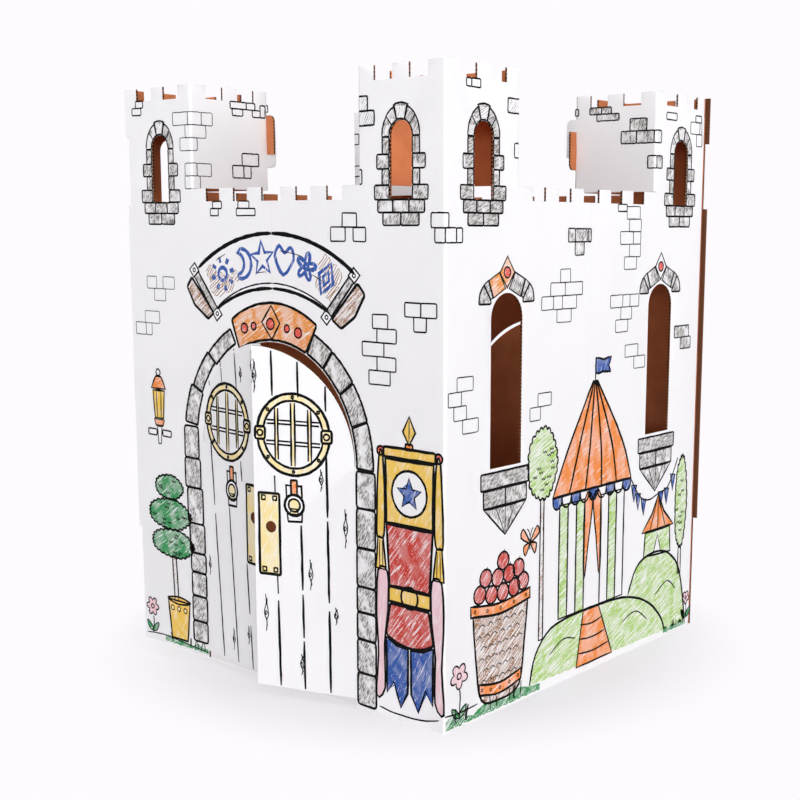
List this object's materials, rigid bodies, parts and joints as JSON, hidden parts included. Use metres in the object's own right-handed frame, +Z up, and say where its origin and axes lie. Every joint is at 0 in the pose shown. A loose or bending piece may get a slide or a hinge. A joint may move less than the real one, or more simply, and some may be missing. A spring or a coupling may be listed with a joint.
{
  "type": "cardboard play castle",
  "caption": "Child's cut-out castle folded from two equal corrugated card blanks, with corner towers, battlements, arched windows and arched doors that stand ajar.",
  "frame": {"origin": "middle of the plan on the floor, where the bottom edges of the four walls stand", "axes": "+Z up; the front door wall faces -Y, its window wall faces +X"},
  "size_m": [0.83, 0.9338, 1.098],
  "materials": {
    "white_board": "matte white-lined corrugated board, kraft brown inside"
  },
  "bodies": {
    "root": {"front_folded_sheet": "white_board", "rear_folded_sheet": "white_board"}
  },
  "joints": []
}
